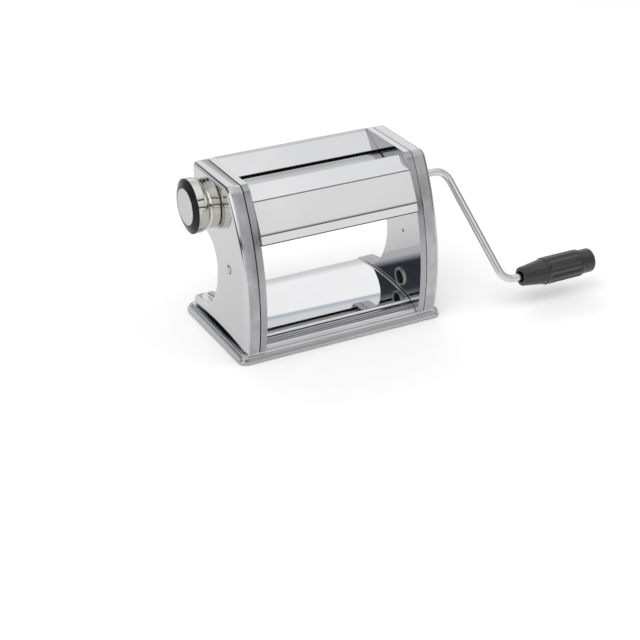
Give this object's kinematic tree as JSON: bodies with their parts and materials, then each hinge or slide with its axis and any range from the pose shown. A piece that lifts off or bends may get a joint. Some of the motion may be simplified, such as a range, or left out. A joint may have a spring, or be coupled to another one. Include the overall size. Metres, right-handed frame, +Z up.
{
  "type": "pasta roller machine",
  "caption": "Hand-cranked pasta roller machine: two rollers between pressed steel sides on a stepped base, with a thickness knob, a bent crank and a spinning grip.",
  "frame": {"origin": "middle of the base's underside, on the table", "axes": "+X along the rollers towards the crank, +Y towards the back, +Z up"},
  "size_m": [0.3652, 0.1472, 0.152],
  "materials": {
    "base_steel": "satin",
    "tray_steel": "mirror polish",
    "rubber": "matte",
    "plate_steel": "satin",
    "cover_steel": "polished",
    "hood_steel": "satin",
    "zinc_steel": "zinc plated",
    "bronze": "sintered",
    "dark_steel": "oiled",
    "roller_steel": "ground",
    "ferrule_steel": "polished",
    "knob_steel": "polished",
    "bevel_black": "gloss",
    "cap_grey": "satin",
    "nylon": "matte",
    "crank_chrome": "polished",
    "grip_black": "satin"
  },
  "bodies": {
    "frame": {"base_plate": "base_steel", "tray": "tray_steel", "base_feet": "rubber", "left_frame_plate": "plate_steel", "right_frame_plate": "plate_steel", "left_side_cover": "cover_steel", "right_side_cover": "cover_steel", "front_hood": "hood_steel", "rear_hood": "hood_steel", "tie_rods": "zinc_steel", "tie_rod_nuts": "zinc_steel", "frame_screws": "zinc_steel", "cover_screws": "zinc_steel", "cover_posts": "zinc_steel", "hood_rivets": "zinc_steel", "front_bushes": "bronze", "carriage_rails": "dark_steel", "clamp_ferrule": "ferrule_steel", "crank_ferrule": "ferrule_steel", "adjuster_bush": "bronze", "knob_collar": "knob_steel", "front_scraper": "nylon"},
    "front_drive": {"front_roller": "roller_steel", "front_gear": "dark_steel", "front_circlip": "dark_steel"},
    "crank": {"crank_rod": "crank_chrome", "crank_cross_pin": "zinc_steel", "grip_washer": "zinc_steel"},
    "handle": {"grip": "grip_black", "grip_end_cap": "grip_black"},
    "carriage": {"left_carriage": "dark_steel", "right_carriage": "dark_steel", "carriage_bar": "zinc_steel", "carriage_bushes": "bronze", "follower_pin": "zinc_steel", "rear_scraper": "nylon"},
    "rear_drive": {"rear_roller": "roller_steel", "rear_gear": "dark_steel", "rear_circlip": "dark_steel"},
    "adjuster": {"adjuster_shaft": "zinc_steel", "scroll_disc": "dark_steel", "adjuster_washer": "zinc_steel", "knob_spring": "dark_steel"},
    "knob": {"knob_barrel": "knob_steel", "knob_bevel": "bevel_black", "knob_cap": "cap_grey", "index_pin": "zinc_steel"}
  },
  "joints": [
    {"name": "crank_turn", "type": "hinge", "parent": "frame", "child": "front_drive", "pos_m": [0, -0.018, 0.1225], "axis": [1, 0, 0], "continuous": true},
    {"name": "crank_pull", "type": "slide", "parent": "front_drive", "child": "crank", "axis": [1, 0, 0], "range_m": [0, 0.026]},
    {"name": "grip_spin", "type": "hinge", "parent": "crank", "child": "handle", "pos_m": [0.2, -0.07414, 0.02907], "axis": [1, 0, 0], "continuous": true},
    {"name": "knob_turn", "type": "hinge", "parent": "frame", "child": "adjuster", "pos_m": [-0.09, 0.0145, 0.1225], "axis": [1, 0, 0], "range_deg": [0, 180]},
    {"name": "roller_gap", "type": "slide", "parent": "frame", "child": "carriage", "axis": [0, -1, 0], "range_m": [0, 0.0023]},
    {"name": "rear_roller_spin", "type": "hinge", "parent": "carriage", "child": "rear_drive", "pos_m": [0, 0.0148, 0.1225], "axis": [1, 0, 0], "continuous": true},
    {"name": "knob_pull", "type": "slide", "parent": "adjuster", "child": "knob", "axis": [-1, 0, 0], "range_m": [0, 0.004], "stiffness_N_per_m": 1000, "springref_m": -0.004, "deforming": ["knob_spring"]}
  ],
  "couplings": [
    {"joint": "rear_roller_spin", "follows": "crank_turn", "ratio": -1},
    {"joint": "knob_turn", "follows": "roller_gap", "rad_per_m": 1365.9}
  ]
}
